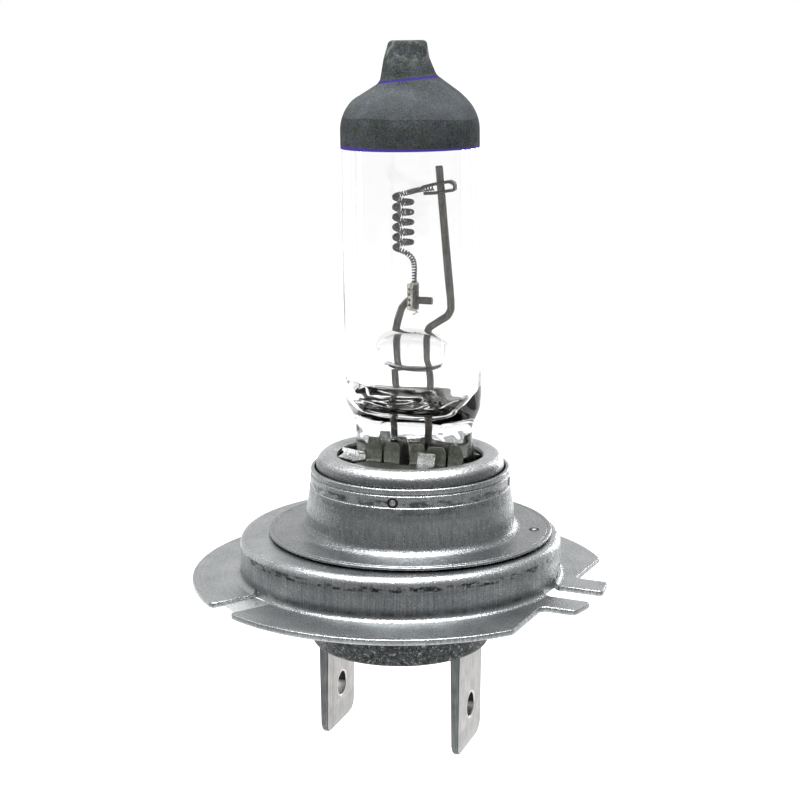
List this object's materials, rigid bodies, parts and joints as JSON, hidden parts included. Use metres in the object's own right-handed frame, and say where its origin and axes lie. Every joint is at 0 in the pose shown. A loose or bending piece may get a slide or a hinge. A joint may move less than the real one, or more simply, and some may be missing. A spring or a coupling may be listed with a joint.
{
  "type": "headlight bulb",
  "caption": "Halogen headlight bulb with a quartz tube, painted top, coiled filament, slotted locating ring and two flat blade terminals.",
  "frame": {"origin": "on the axis of the locating drum, at its foot, in the upper face of the flange that seats in the headlight", "axes": "+Z along the bulb towards the glass tip, +X from the left blade to the right blade and close to the key lug"},
  "size_m": [0.0338, 0.0338, 0.0566],
  "materials": {
    "quartz": "clear, fire polished",
    "top_paint": "matte dark grey heat-proof coat",
    "tungsten": "drawn wire, grey",
    "lead_metal": "drawn molybdenum, dull",
    "foil_metal": "thin foil, satin",
    "spring_steel": "plain sheet, satin",
    "cup_metal": "zinc grey sheet, satin with fine speckle",
    "sleeve_metal": "deep drawn sheet with fine upright draw marks",
    "weld_metal": "resolidified metal with a dark edge",
    "ring_metal": "deep drawn zinc grey sheet, worn edges",
    "insulator": "mineral filled moulding, speckled",
    "blade_metal": "tin plated, bright satin"
  },
  "bodies": {
    "root": {"glass_envelope": "quartz", "top_coat": "top_paint", "filament": "tungsten", "long_lead_wire": "lead_metal", "short_lead_wire": "lead_metal", "upper_filament_clamp": "lead_metal", "lower_filament_clamp": "lead_metal", "glass_bridge": "quartz", "foil_left": "foil_metal", "foil_right": "foil_metal", "outer_lead_left": "lead_metal", "outer_lead_right": "lead_metal", "pinch_clip": "spring_steel", "holder_cup": "cup_metal", "adjusting_sleeve": "sleeve_metal", "weld_spots": "weld_metal", "base_ring": "ring_metal", "insulator": "insulator", "terminal_left": "blade_metal", "terminal_right": "blade_metal"}
  },
  "joints": []
}
